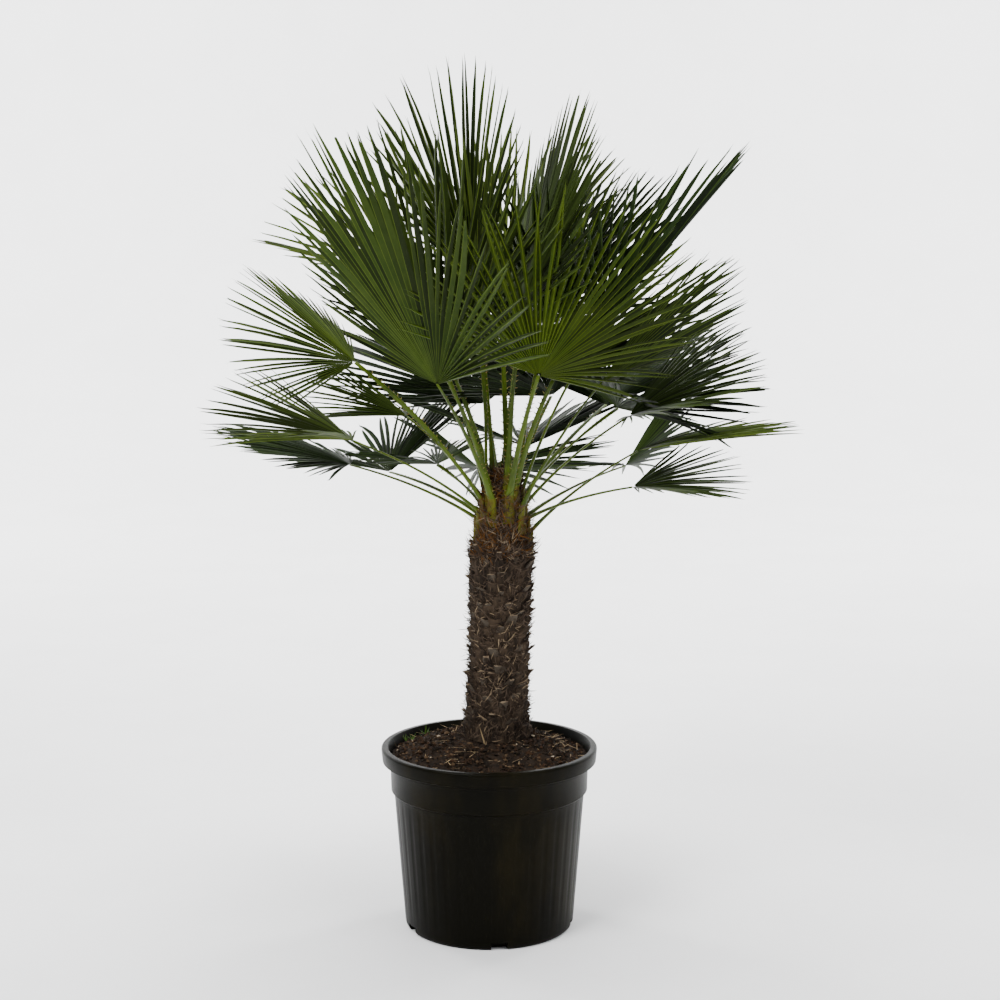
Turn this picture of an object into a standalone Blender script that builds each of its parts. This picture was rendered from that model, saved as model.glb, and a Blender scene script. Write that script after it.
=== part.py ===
"""European fan palm in its nursery pot.

One frame: metres, +Z up, -Y the front. The origin is the middle of the pot's flat underside.
The palm is a trunk with a rough skin and a crown of folded fan leaves on long stalks. Each leaf
is a pleated blade cut between its leaflets, and it is one solid with its stalk. Where two leaves
would meet, the later one in the list is cut back.
"""

import math
import random
from dataclasses import dataclass

import bmesh
import bpy
from mathutils import Vector
from mathutils.bvhtree import BVHTree

SEED = 11
GAP = 0.0003  # between pieces that touch
CLEAR = 0.0011  # a leaf keeps this far from every other leaf

# Pot
RIM_RADIUS = 0.230
POT_HEIGHT = 0.391
RIM_HEIGHT = 0.032
RIM_ROUND = 0.005
DRAFT = 0.001  # the bands of the pot widen upwards by this
COLLAR_RADIUS = 0.211
COLLAR_DROP = 0.062
WALL_TOP_RADIUS = 0.203
WALL_FOOT_RADIUS = 0.181
FOOT_RADIUS = 0.173
FOOT_ROUND = 0.012
WALL = 0.005
RIM_SHELF = 0.015  # width of the rim's flat top
FLOOR = 0.022
POT_SIDES = 40
FLUTE_DEPTH = 0.002
FLUTE_START = 0.030
NOTCHES = 5
NOTCH_WIDTH = 0.034
NOTCH_HEIGHT = 0.016
NOTCH_DEPTH = 0.022
FIRST_NOTCH = 277.0  # degrees from +X

# Soil
SOIL_EDGE = 0.371
SOIL_CENTRE = 0.4097
SOIL_FLAT_RADIUS = 0.095
SOIL_ROUGHNESS = 0.004
SOIL_RINGS = (0.25, 0.6)  # rough rings, as shares of the way from the edge to the flat middle

# Trunk
TRUNK_FOOT = SOIL_CENTRE + GAP
TRUNK_SHOULDER = 0.805
TRUNK_TIP = 0.985
TRUNK_FOOT_X = 0.015
TRUNK_LEAN = math.radians(1.6)
FLARE_RADIUS = 0.072
FOOT_TRUNK_RADIUS = 0.064
WAIST_RADIUS = 0.059
SHOULDER_RADIUS = 0.065
CONE_FOOT_RADIUS = 0.061
TIP_RADIUS = 0.018
TRUNK_SIDES = 18
FLARE_FADE = 14.0  # how fast the root flare dies away up the trunk
SCALE_ROWS = 11
SCALE_DEPTH = 0.006
SCALE_LEDGES = ((0.12, -0.3), (0.88, 1.0))  # height in its row, and how proud, of a ledge
SCALE_LOW = 0.25  # every other cut base stands out only this much
SCALE_SPREAD = (0.6, 1.2)
SHOULDER_STEP = 0.004

# Leaves
LEAFLETS = 17
THICKNESS_SHARE = 0.0105  # of a blade's reach
SPLIT_SHARE = 0.42  # undivided part of a leaflet
MIDDLE_SHARE = 0.52  # how far along its free part a leaflet has its second section
MIDDLE_WIDTH = 0.80  # of its width at the split
PLEAT_SHARE = 0.32  # rise of a pleat over half its width
EDGE_LEAFLET_SHARE = 0.72  # length of the outermost leaflets over the middle one
SHORTEST_LEAFLET = 0.94  # leaflets differ in length by chance, down to this
SAG_SHARE = 0.08
SHORT_SPLIT = 0.7  # a leaflet that is cut back stays free beyond this share of what is left
FREE_PLEAT = 0.8  # pleat of a free leaflet over that at its split
STALK_BASE_WIDTH = 0.024
STALK_ROOT_WIDTH = 0.017
STALK_HUB_WIDTH = 0.009
STALK_FLATNESS = 0.62
STALK_KEEL = 0.45
STALK_BOW = 0.07
STALK_RINGS = 4
BASE_TAPER = 0.8  # lower edge of a stalk's foot over its upper edge
ROOT_OUT = 0.0025  # a stalk turns upwards this far off the shaft
ROOT_UP = 0.016
BOW_PLACE = 0.45  # along the stalk
BOW_INWARD = 0.6
STALK_FOOT_CORNERS = ((1, 1, 1.0), (-1, 1, 1.0), (-1, -1, BASE_TAPER), (1, -1, BASE_TAPER))
LOWEST_ROOT = 0.838
HIGHEST_ROOT = 0.945
STEEPEST = 80.0
ROOT_STEPS = 9  # a stalk may root this many steps away from its own place
ROOT_STEP_HEIGHT = 0.006
ROOT_STEP_TURN = 5.0  # degrees
ROOT_MARGIN = 0.02  # a root keeps this far inside the shaft's ends
HUB_BLEND = 8.0  # degrees either side of a folded fan's middle that are rounded
SHORTENINGS = (1.0, 0.88, 0.76, 0.64, 0.52, 0.40, 0.28, 0.18, 0.12)

# Colours, each with its roughness
BLACK_PLASTIC = ((0.018, 0.018, 0.016), 0.55)
DARK_SOIL = ((0.045, 0.026, 0.016), 0.95)
GREY_BARK = ((0.095, 0.070, 0.050), 0.95)
LEAF_GREEN = ((0.055, 0.115, 0.022), 0.50)


@dataclass(frozen=True)
class Frond:
    """One fan leaf: where its stalk goes, then how its blade lies. Angles are in degrees."""

    name: str
    azimuth: float  # of the stalk, from +X towards +Y
    rise: float  # of the stalk's chord above the level
    stalk: float  # root to hub
    heading: float  # of the blade's middle leaflet
    slope: float
    roll: float
    reach: float  # hub to the middle leaflet's tip
    spread: float  # angle of the whole fan
    fold: float  # each half of the fan is lifted by this


FRONDS = (
    Frond("frond_front_left", 240, 51, 0.35, 210, 64, 3, 0.58, 161, 5),
    Frond("frond_front_right", 288, 56, 0.34, 330, 60, -35, 0.43, 185, 12),
    Frond("frond_top", 180, 85, 0.45, 248, 80, 66, 0.46, 97, 14),
    Frond("frond_front_right_inner", 312, 65, 0.28, 21, 32, -94, 0.52, 99, 59),
    Frond("frond_front_left_inner", 226, 63, 0.30, 250, 67, -11, 0.56, 114, 14),
    Frond("frond_back_high_right", 55, 30, 0.42, 66, 25, 0, 0.44, 170, 20),
    Frond("frond_back_low", 98, 15, 0.32, 85, -20, 10, 0.42, 180, 30),
    Frond("frond_right_wide", 359, 42, 0.30, 326, 17, 23, 0.34, 136, 20),
    Frond("frond_top_right", 286, 76, 0.38, 352, 74, 21, 0.49, 132, 0),
    Frond("frond_upper_right", 347, 64, 0.39, 323, 48, 9, 0.52, 108, 19),
    Frond("frond_right_mid", 346, 56, 0.31, 35, 22, -37, 0.43, 118, 14),
    Frond("frond_left_mid", 201, 48, 0.42, 190, 41, 109, 0.32, 165, 57),
    Frond("frond_left_low_bright", 192, 32, 0.32, 214, 7, -13, 0.35, 126, 25),
    Frond("frond_left_low_dark", 179, 24, 0.30, 176, 19, 1, 0.31, 176, 0),
    Frond("frond_left_fold", 174, 49, 0.25, 149, 0, 24, 0.27, 117, 29),
    Frond("frond_back_left", 98, 41, 0.31, 119, 22, -20, 0.44, 190, 25),
    Frond("frond_upper_right_back", 23, 78, 0.36, 323, 34, 4, 0.43, 147, 51),
    Frond("frond_right_mid_back", 39, 36, 0.35, 303, -2, 0, 0.40, 150, 30),
    Frond("frond_right_lowest", 358, 20, 0.24, 337, 2, 11, 0.26, 141, 19),
    Frond("frond_top_left_back", 131, 82, 0.36, 170, 61, 30, 0.46, 150, 20),
    Frond("frond_left_pale", 163, 68, 0.47, 185, 21, 33, 0.36, 129, 30),
    Frond("frond_back_right", 61, 50, 0.28, 96, 22, -20, 0.42, 190, 25),
    Frond("frond_back_middle", 80, 26, 0.28, 101, 1, 0, 0.44, 190, 25),
    Frond("frond_left_back_folded", 140, 34, 0.17, 240, 9, 9, 0.24, 176, 18),
    Frond("frond_left_back_low", 133, 15, 0.33, 120, 2, -10, 0.42, 180, 25),
    Frond("frond_back_high", 80, 62, 0.40, 85, 48, 10, 0.46, 170, 20),
    Frond("frond_back_low_right", 35, 20, 0.30, 72, -4, -30, 0.40, 180, 30),
    Frond("frond_back_high_left", 118, 52, 0.38, 102, 44, 10, 0.45, 170, 20),
    Frond("frond_right_low", 6, 30, 0.28, 353, 12, -2, 0.36, 117, 7),
    Frond("frond_top_back", 91, 76, 0.41, 46, 56, 10, 0.45, 150, 25),
)


def clear_scene():
    for item in list(bpy.data.objects):
        bpy.data.objects.remove(item, do_unlink=True)


def material(name, finish):
    colour, roughness = finish
    made = bpy.data.materials.new(name)
    made.use_nodes = True
    shader = made.node_tree.nodes["Principled BSDF"]
    shader.inputs["Base Color"].default_value = (*colour, 1.0)
    shader.inputs["Roughness"].default_value = roughness
    shader.inputs["Metallic"].default_value = 0.0
    made.diffuse_color = (*colour, 1.0)
    return made


def add_object(name, mesh, finish, smooth_below=None):
    """Puts a mesh in the scene under its name, with a material of its own."""
    if smooth_below is not None:
        mesh.shade_smooth()
        mesh.set_sharp_from_angle(angle=math.radians(smooth_below))
    mesh.materials.append(material(name + "_finish", finish))
    item = bpy.data.objects.new(name, mesh)
    bpy.context.scene.collection.objects.link(item)
    return item


def mesh_from(name, points, faces):
    """A triangulated mesh whose faces all point outwards."""
    shape = bmesh.new()
    corners = [shape.verts.new(point) for point in points]
    for face in faces:
        shape.faces.new([corners[index] for index in face])
    bmesh.ops.triangulate(shape, faces=shape.faces[:])
    bmesh.ops.recalc_face_normals(shape, faces=shape.faces[:])
    mesh = bpy.data.meshes.new(name)
    shape.to_mesh(mesh)
    shape.free()
    return mesh


def ring(radius, height, sides, centre_x=0.0):
    """A level ring of points. The radius is a number, or a function of the side's index."""
    points = []
    for side in range(sides):
        reach = radius(side) if callable(radius) else radius
        turn = 2 * math.pi * side / sides
        points.append(Vector((centre_x + reach * math.cos(turn), reach * math.sin(turn), height)))
    return points


def loft(rings, close_start=True, close_end=True):
    """Points and faces of a tube through rings of equal count."""
    sides = len(rings[0])
    points = [point for one in rings for point in one]
    faces = []
    for level in range(len(rings) - 1):
        for side in range(sides):
            after = (side + 1) % sides
            low = level * sides
            high = low + sides
            faces.append((low + side, low + after, high + after, high + side))
    if close_start:
        faces.append(tuple(reversed(range(sides))))
    if close_end:
        last = (len(rings) - 1) * sides
        faces.append(tuple(range(last, last + sides)))
    return points, faces


def wall_radius(height):
    """Outer radius of the plain wall between the foot and the collar."""
    share = (height - FOOT_ROUND) / (POT_HEIGHT - RIM_HEIGHT - COLLAR_DROP - FOOT_ROUND)
    return WALL_FOOT_RADIUS + share * (WALL_TOP_RADIUS - WALL_FOOT_RADIUS)


def fluted(radius):
    """The wall's radius at a side: every other side is a shallow hollow."""
    return lambda side: radius - FLUTE_DEPTH * (side % 2)


def build_pot():
    rim_foot = POT_HEIGHT - RIM_HEIGHT
    collar_foot = rim_foot - COLLAR_DROP
    inner_top = RIM_RADIUS - RIM_SHELF
    rings = [
        ring(FOOT_RADIUS, 0.0, POT_SIDES),
        ring(WALL_FOOT_RADIUS, FOOT_ROUND, POT_SIDES),
        ring(fluted(wall_radius(FLUTE_START)), FLUTE_START, POT_SIDES),
        ring(fluted(WALL_TOP_RADIUS), collar_foot - WALL, POT_SIDES),
        ring(COLLAR_RADIUS - DRAFT, collar_foot, POT_SIDES),
        ring(COLLAR_RADIUS, rim_foot, POT_SIDES),
        ring(RIM_RADIUS - 2 * DRAFT, rim_foot, POT_SIDES),
        ring(RIM_RADIUS, POT_HEIGHT - RIM_ROUND, POT_SIDES),
        ring(RIM_RADIUS - RIM_ROUND, POT_HEIGHT, POT_SIDES),
        ring(inner_top, POT_HEIGHT, POT_SIDES),
        ring(COLLAR_RADIUS - WALL, rim_foot - WALL, POT_SIDES),
        ring(WALL_FOOT_RADIUS - WALL - FLUTE_DEPTH, FLOOR, POT_SIDES),
    ]
    points, faces = loft(rings)
    pot = add_object("pot", mesh_from("pot", points, faces), BLACK_PLASTIC, smooth_below=35)
    cut_notches(pot)
    return rings[-1], rings[-2]


def cut_notches(pot):
    """Drain notches through the foot of the wall."""
    for index in range(NOTCHES):
        turn = math.radians(FIRST_NOTCH + index * 360.0 / NOTCHES)
        bpy.ops.mesh.primitive_cube_add(size=1.0)
        cutter = bpy.context.active_object
        cutter.name = f"notch_cutter_{index}"
        middle = WALL_FOOT_RADIUS - NOTCH_DEPTH / 2 + WALL
        cutter.location = (middle * math.cos(turn), middle * math.sin(turn), 0.0)
        cutter.rotation_euler = (0.0, 0.0, turn)
        cutter.scale = (NOTCH_DEPTH + 2 * WALL, NOTCH_WIDTH, 2 * NOTCH_HEIGHT)
        cutter.hide_render = True
        cutter.display_type = "WIRE"
        cut = pot.modifiers.new(f"notch_{index}", "BOOLEAN")
        cut.operation = "DIFFERENCE"
        cut.solver = "EXACT"
        cut.object = cutter


def build_soil(floor_ring, collar_ring):
    """The pot's fill, from its floor to a low mound round the trunk."""
    draw = random.Random(SEED)
    shrink = 2 * GAP

    def inside(one, height):
        centre = Vector((0.0, 0.0, height))
        return [
            centre + Vector((point.x, point.y, 0.0)) * (1 - shrink / math.hypot(point.x, point.y))
            for point in one
        ]

    floor_radius = floor_ring[0].x
    collar_radius = collar_ring[0].x
    floor_height = floor_ring[0].z
    collar_height = collar_ring[0].z
    lip_slope = (RIM_RADIUS - RIM_SHELF - collar_radius) / (POT_HEIGHT - collar_height)
    edge_radius = collar_radius + lip_slope * (SOIL_EDGE - collar_height)
    rings = [
        inside(ring(floor_radius, 0, POT_SIDES), floor_height + GAP),
        inside(ring(collar_radius, 0, POT_SIDES), collar_height),
        inside(ring(edge_radius, 0, POT_SIDES), SOIL_EDGE),
    ]
    for part in SOIL_RINGS:
        radius = edge_radius + (SOIL_FLAT_RADIUS - edge_radius) * part
        height = SOIL_EDGE + (SOIL_CENTRE - SOIL_EDGE) * part
        rough = ring(radius, height, POT_SIDES)
        for point in rough:
            point.z += draw.uniform(-SOIL_ROUGHNESS, SOIL_ROUGHNESS)
        rings.append(rough)
    rings.append(ring(SOIL_FLAT_RADIUS, SOIL_CENTRE, POT_SIDES))
    points, faces = loft(rings)
    add_object("soil", mesh_from("soil", points, faces), DARK_SOIL, smooth_below=50)


def trunk_axis(height):
    """Sideways place of the trunk's middle at a height: it leans a little to the right."""
    return TRUNK_FOOT_X + (height - TRUNK_FOOT) * math.tan(TRUNK_LEAN)


def trunk_radius(height):
    """Plain radius of the trunk between its foot and its shoulder."""
    share = (height - TRUNK_FOOT) / (TRUNK_SHOULDER - TRUNK_FOOT)
    flare = (FLARE_RADIUS - FOOT_TRUNK_RADIUS) * math.exp(-share * FLARE_FADE)
    if share < 0.5:
        blend = share / 0.5
        return FOOT_TRUNK_RADIUS + (WAIST_RADIUS - FOOT_TRUNK_RADIUS) * blend + flare
    blend = (share - 0.5) / 0.5
    return WAIST_RADIUS + (SHOULDER_RADIUS - WAIST_RADIUS) * blend


def cone_radius(height):
    """Radius of the tapering crown shaft that carries the stalks."""
    share = (height - TRUNK_SHOULDER) / (TRUNK_TIP - TRUNK_SHOULDER)
    return CONE_FOOT_RADIUS + share * (TIP_RADIUS - CONE_FOOT_RADIUS)


def build_trunk():
    """Rows of cut leaf bases, each row standing out at its upper edge, then the crown shaft."""
    draw = random.Random(SEED + 1)
    rings = [ring(trunk_radius(TRUNK_FOOT), TRUNK_FOOT, TRUNK_SIDES, trunk_axis(TRUNK_FOOT))]
    row_height = (TRUNK_SHOULDER - TRUNK_FOOT) / SCALE_ROWS
    for row in range(SCALE_ROWS):
        for share, proud in SCALE_LEDGES:
            height = TRUNK_FOOT + (row + share) * row_height
            radius = trunk_radius(height)
            rough = []
            for side in range(TRUNK_SIDES):
                step = (side + row) % 2
                stand = SCALE_LOW + (1.0 - SCALE_LOW) * step
                extra = proud * SCALE_DEPTH * stand * draw.uniform(*SCALE_SPREAD)
                turn = 2 * math.pi * side / TRUNK_SIDES
                lift = SCALE_LOW * row_height * (step - 0.5) * max(proud, 0.0)
                reach = radius + extra
                rough.append(
                    Vector(
                        (
                            trunk_axis(height) + reach * math.cos(turn),
                            reach * math.sin(turn),
                            height + lift,
                        )
                    )
                )
            rings.append(rough)
    for height in (TRUNK_SHOULDER + SHOULDER_STEP, TRUNK_TIP):
        rings.append(ring(cone_radius(height), height, TRUNK_SIDES, trunk_axis(height)))
    points, faces = loft(rings)
    return add_object("trunk", mesh_from("trunk", points, faces), GREY_BARK)


def direction(azimuth, rise):
    turn = math.radians(azimuth)
    lift = math.radians(rise)
    return Vector(
        (math.cos(turn) * math.cos(lift), math.sin(turn) * math.cos(lift), math.sin(lift))
    )


def across(azimuth):
    """The level direction to the left of an azimuth."""
    turn = math.radians(azimuth)
    return Vector((-math.sin(turn), math.cos(turn), 0.0))


class LeafShape:
    """Works out a leaf's points: a stalk from the crown shaft to the hub, then the fan."""

    def __init__(self, frond, root_shift=0.0, turn_shift=0.0):
        self.frond = frond
        self.draw = random.Random(frond.name)
        steepness = min(max(frond.rise / STEEPEST, 0.0), 1.0)
        self.root_height = LOWEST_ROOT + steepness * (HIGHEST_ROOT - LOWEST_ROOT) + root_shift
        self.root_azimuth = frond.azimuth + turn_shift
        plain_height = LOWEST_ROOT + steepness * (HIGHEST_ROOT - LOWEST_ROOT)
        chord_start = self.shaft_point(plain_height, frond.azimuth)
        self.hub = chord_start + frond.stalk * direction(frond.azimuth, frond.rise)
        forward = direction(frond.heading, frond.slope)
        level = across(frond.heading)
        upper = forward.cross(level)
        roll = math.radians(frond.roll)
        self.forward = forward
        self.side = level * math.cos(roll) + upper * math.sin(roll)
        self.face = upper * math.cos(roll) - level * math.sin(roll)
        self.thickness = THICKNESS_SHARE * frond.reach
        self.leaflets = self.plan_leaflets()

    def shaft_point(self, height, azimuth):
        """A point on the crown shaft's flats, seen along an azimuth."""
        support = max(
            math.cos(math.radians(azimuth) - 2 * math.pi * side / TRUNK_SIDES)
            for side in range(TRUNK_SIDES)
        )
        out = cone_radius(height) * support + GAP
        return Vector((trunk_axis(height), 0.0, height)) + out * direction(azimuth, 0.0)

    def plan_leaflets(self):
        """Angle and length of each leaflet, from one side of the fan to the other."""
        spread = math.radians(self.frond.spread)
        pitch = spread / LEAFLETS
        plan = []
        for index in range(LEAFLETS):
            angle = -spread / 2 + (index + 0.5) * pitch
            off_middle = abs(angle) / (spread / 2)
            share = 1.0 - (1.0 - EDGE_LEAFLET_SHARE) * off_middle**2
            share *= self.draw.uniform(SHORTEST_LEAFLET, 1.0)
            plan.append((angle, share * self.frond.reach))
        return plan

    def blade_point(self, radius, angle, lift):
        """A point of the blade, by its distance from the hub, its angle and its height off it."""
        fold = math.radians(self.frond.fold)
        half = 1.0 if angle >= 0 else -1.0
        outward = self.side * half * math.cos(fold) + self.face * math.sin(fold)
        normal = self.face * math.cos(fold) - self.side * half * math.sin(fold)
        middle = 1.0 - min(abs(math.degrees(angle)) / HUB_BLEND, 1.0)
        normal = (normal + self.face * middle).normalized()
        along = self.forward * math.cos(angle) + outward * abs(math.sin(angle))
        sag = SAG_SHARE * radius * radius / self.frond.reach * math.hypot(along.x, along.y)
        return self.hub + along * radius + normal * lift - Vector((0.0, 0.0, sag))

    def stalk_rings(self, grow=0.0):
        """Four-cornered rings from the shaft to the hub; each is wide above and narrow below."""
        azimuth = self.root_azimuth
        base_high = STALK_BASE_WIDTH * STALK_FLATNESS / 2
        tangent = across(azimuth)
        base = []
        for half, up, share in STALK_FOOT_CORNERS:
            height = self.root_height + up * base_high
            corner = self.shaft_point(height, azimuth)
            base.append(corner + tangent * half * share * STALK_BASE_WIDTH / 2)
        root = self.shaft_point(self.root_height, azimuth)
        root += direction(azimuth, 0.0) * (STALK_ROOT_WIDTH * STALK_FLATNESS / 2 + ROOT_OUT)
        root += Vector((0.0, 0.0, ROOT_UP))
        chord = self.hub - root
        bow = chord.length * STALK_BOW
        inward = direction(azimuth, 0.0) * bow * BOW_INWARD
        control = root + chord * BOW_PLACE + Vector((0.0, 0.0, bow)) - inward
        rings = [base]
        for step in range(STALK_RINGS + 1):
            share = step / STALK_RINGS
            rings.append(self.stalk_ring(root, control, share, grow))
        return rings

    def stalk_ring(self, root, control, share, grow):
        rest = 1.0 - share
        centre = root * rest * rest + control * 2 * rest * share + self.hub * share * share
        along = ((control - root) * rest + (self.hub - control) * share).normalized()
        if share == 1.0:
            along = (along + self.forward).normalized()
        side = across(self.root_azimuth) * rest + self.side * share
        side = (side - along * side.dot(along)).normalized()
        face = along.cross(side)
        width = STALK_ROOT_WIDTH + (STALK_HUB_WIDTH - STALK_ROOT_WIDTH) * share + 2 * grow
        high = width * STALK_FLATNESS
        return [
            centre + side * width / 2 + face * high / 2,
            centre - side * width / 2 + face * high / 2,
            centre - side * width * STALK_KEEL / 2 - face * high / 2,
            centre + side * width * STALK_KEEL / 2 - face * high / 2,
        ]

    def stalk_solid(self, grow=0.0):
        return loft(self.stalk_rings(grow))

    def pleat(self, radius):
        pitch = math.radians(self.frond.spread) / LEAFLETS
        return PLEAT_SHARE * radius * pitch / 2

    def split_radius(self, index, shortening):
        length = self.leaflets[index][1]
        return min(SPLIT_SHARE * length, SHORT_SPLIT * shortening * length)

    def leaflet_sections(self, index, shortening, low_split, high_split, grow=0.0):
        """The points of one leaflet: its split edge, its second section and its tip."""
        angle, length = self.leaflets[index]
        pitch = math.radians(self.frond.spread) / LEAFLETS
        half = self.thickness / 2 + grow
        tip = length * shortening
        own_split = self.split_radius(index, shortening)
        low_angle = angle - pitch / 2
        high_angle = angle + pitch / 2
        split = [
            self.blade_point(low_split, low_angle, self.pleat(low_split) + half),
            self.blade_point(low_split, low_angle, self.pleat(low_split) - half),
            self.blade_point(own_split, angle, half - self.pleat(own_split)),
            self.blade_point(own_split, angle, -half - self.pleat(own_split)),
            self.blade_point(high_split, high_angle, self.pleat(high_split) + half),
            self.blade_point(high_split, high_angle, self.pleat(high_split) - half),
        ]
        middle = own_split + MIDDLE_SHARE * (tip - own_split)
        half_angle = MIDDLE_WIDTH * (pitch / 2) * own_split / middle + grow / middle
        lift = FREE_PLEAT * self.pleat(own_split)
        section = [
            self.blade_point(middle, angle - half_angle, lift),
            self.blade_point(middle, angle, half - lift),
            self.blade_point(middle, angle, -half - lift),
            self.blade_point(middle, angle + half_angle, lift),
        ]
        end = self.blade_point(tip + grow, angle, 0.0)
        return split, section, end

    def leaflet_trial(self, index, shortening):
        """A swollen closed solid of one leaflet and its share of the undivided blade."""
        own_split = self.split_radius(index, shortening)
        split, section, end = self.leaflet_sections(
            index, shortening, own_split, own_split, grow=CLEAR
        )
        hub_top = self.hub + self.face * (STALK_HUB_WIDTH * STALK_FLATNESS / 2 + CLEAR)
        hub_foot = self.hub - self.face * (STALK_HUB_WIDTH * STALK_FLATNESS / 2 + CLEAR)
        points = [hub_top, hub_foot, *split, *section, end]
        faces = [
            (0, 2, 4),
            (0, 4, 6),
            (1, 5, 3),
            (1, 7, 5),
            (0, 1, 3),
            (0, 3, 2),
            (0, 6, 7),
            (0, 7, 1),
            *leaflet_faces((2, 3, 4, 5, 6, 7), (8, 9, 10, 11), 12),
        ]
        return points, faces

    def solid(self, shortenings):
        """Points and faces of the whole leaf."""
        rings = self.stalk_rings()
        points, faces = loft(rings, close_end=False)
        last = (len(rings) - 1) * 4
        left_top, right_top, right_foot, left_foot = range(last, last + 4)
        splits = [self.split_radius(i, f) for i, f in enumerate(shortenings)]
        edges = [splits[0]]
        edges += [min(splits[i], splits[i + 1]) for i in range(LEAFLETS - 1)]
        edges.append(splits[-1])
        edge_index = []
        middle = LEAFLETS // 2
        for index in range(LEAFLETS):
            split, section, end = self.leaflet_sections(
                index, shortenings[index], edges[index], edges[index + 1]
            )
            if index == 0:
                edge_index.append((len(points), len(points) + 1))
                points += split[:2]
            keel = (len(points), len(points) + 1)
            points += split[2:4]
            edge_index.append((len(points), len(points) + 1))
            points += split[4:6]
            row = tuple(range(len(points), len(points) + 4))
            points += section
            tip = len(points)
            points.append(end)
            low = edge_index[index]
            high = edge_index[index + 1]
            faces += leaflet_faces((*low, *keel, *high), row, tip)
            for ends, on_left in (((low, keel), index > middle), ((keel, high), index >= middle)):
                top = left_top if on_left else right_top
                foot = left_foot if on_left else right_foot
                faces.append((top, ends[0][0], ends[1][0]))
                faces.append((foot, ends[1][1], ends[0][1]))
            if index == middle:
                faces.append((right_top, keel[0], left_top))
                faces.append((right_foot, left_foot, keel[1]))
        first = edge_index[0]
        final = edge_index[-1]
        faces.append((right_top, right_foot, first[1]))
        faces.append((right_top, first[1], first[0]))
        faces.append((left_top, final[0], final[1]))
        faces.append((left_top, final[1], left_foot))
        return points, faces


def leaflet_faces(split, section, tip):
    """Faces of a free leaflet from its split edge (six points) over its section to its tip."""
    low_top, low_foot, keel_top, keel_foot, high_top, high_foot = split
    low, top, foot, high = section
    return [
        (low_top, keel_top, top, low),
        (keel_top, high_top, high, top),
        (low_foot, low, foot, keel_foot),
        (keel_foot, foot, high, high_foot),
        (low_top, low, low_foot),
        (high_top, high_foot, high),
        (low, top, tip),
        (top, high, tip),
        (low, tip, foot),
        (foot, tip, high),
    ]


class Neighbours:
    """Everything built so far, to keep the next piece clear of it."""

    def __init__(self):
        self.parts = {}

    def add(self, name, points, faces):
        self.parts[name] = (points, faces)

    def tree(self, leave_out=()):
        points = []
        faces = []
        for name, (some_points, some_faces) in self.parts.items():
            if name in leave_out:
                continue
            start = len(points)
            points += some_points
            faces += [tuple(start + index for index in face) for face in some_faces]
        return BVHTree.FromPolygons(points, faces, epsilon=0.0) if faces else None


def meets(tree, points, faces):
    return tree is not None and bool(BVHTree.FromPolygons(points, faces).overlap(tree))


def root_shifts():
    """Shifts of a stalk's root, in height and in degrees, nearest first."""
    shifts = [(0.0, 0.0)]
    for step in range(1, ROOT_STEPS + 1):
        for drop in (0.0, -ROOT_STEP_HEIGHT * step, ROOT_STEP_HEIGHT * step):
            for turn in (0.0, -ROOT_STEP_TURN * step, ROOT_STEP_TURN * step):
                shifts.append((drop, turn))
    return shifts


def rooted(frond, others, trunk):
    """The leaf's shape with its root where the stalk clears the trunk and the other stalks."""
    for drop, turn in root_shifts():
        shape = LeafShape(frond, drop, turn)
        if not LOWEST_ROOT - ROOT_MARGIN < shape.root_height < TRUNK_TIP - ROOT_MARGIN:
            continue
        if meets(others, *shape.stalk_solid(grow=CLEAR)):
            continue
        if not meets(trunk, *shape.stalk_solid()):
            return shape
    raise ValueError(f"{frond.name} has no free root")


def place_stalks(neighbours):
    """Roots every stalk as near its own place as it can, clear of the stalks before it."""
    shapes = []
    trunk = BVHTree.FromPolygons(*neighbours.parts["trunk"])
    for frond in FRONDS:
        shape = rooted(frond, neighbours.tree(leave_out=("trunk",)), trunk)
        shapes.append(shape)
        neighbours.add(frond.name, *shape.stalk_solid())
    return shapes


def build_fronds(neighbours):
    """Opens each fan in turn; a leaflet that would meet something is cut back short of it."""
    for shape in place_stalks(neighbours):
        name = shape.frond.name
        tree = neighbours.tree(leave_out=(name,))
        kept = []
        for index in range(LEAFLETS):
            for shortening in SHORTENINGS:
                if not meets(tree, *shape.leaflet_trial(index, shortening)):
                    break
            kept.append(shortening)
        points, faces = shape.solid(kept)
        neighbours.add(name, points, faces)
        add_object(name, mesh_from(name, points, faces), LEAF_GREEN)


def main():
    clear_scene()
    floor_ring, collar_ring = build_pot()
    build_soil(floor_ring, collar_ring)
    trunk = build_trunk()
    neighbours = Neighbours()
    trunk.data.calc_loop_triangles()
    neighbours.add(
        "trunk",
        [vertex.co.copy() for vertex in trunk.data.vertices],
        [tuple(face.vertices) for face in trunk.data.loop_triangles],
    )
    build_fronds(neighbours)


main()
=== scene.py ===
"""The looks of a european fan palm in its nursery pot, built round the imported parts.

One frame: metres, +Z up, -Y the front. The pot is turned with its flutes and lip, the soil is
strewn with crumbs, and the trunk has its cut leaf bases and fibre. Each leaf follows the rule of
its solid, carried to finer leaflets: a stalk with spines, a pleated blade, free tips that fork.
"""

import functools
import logging
import math
from dataclasses import dataclass
from enum import Enum

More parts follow.
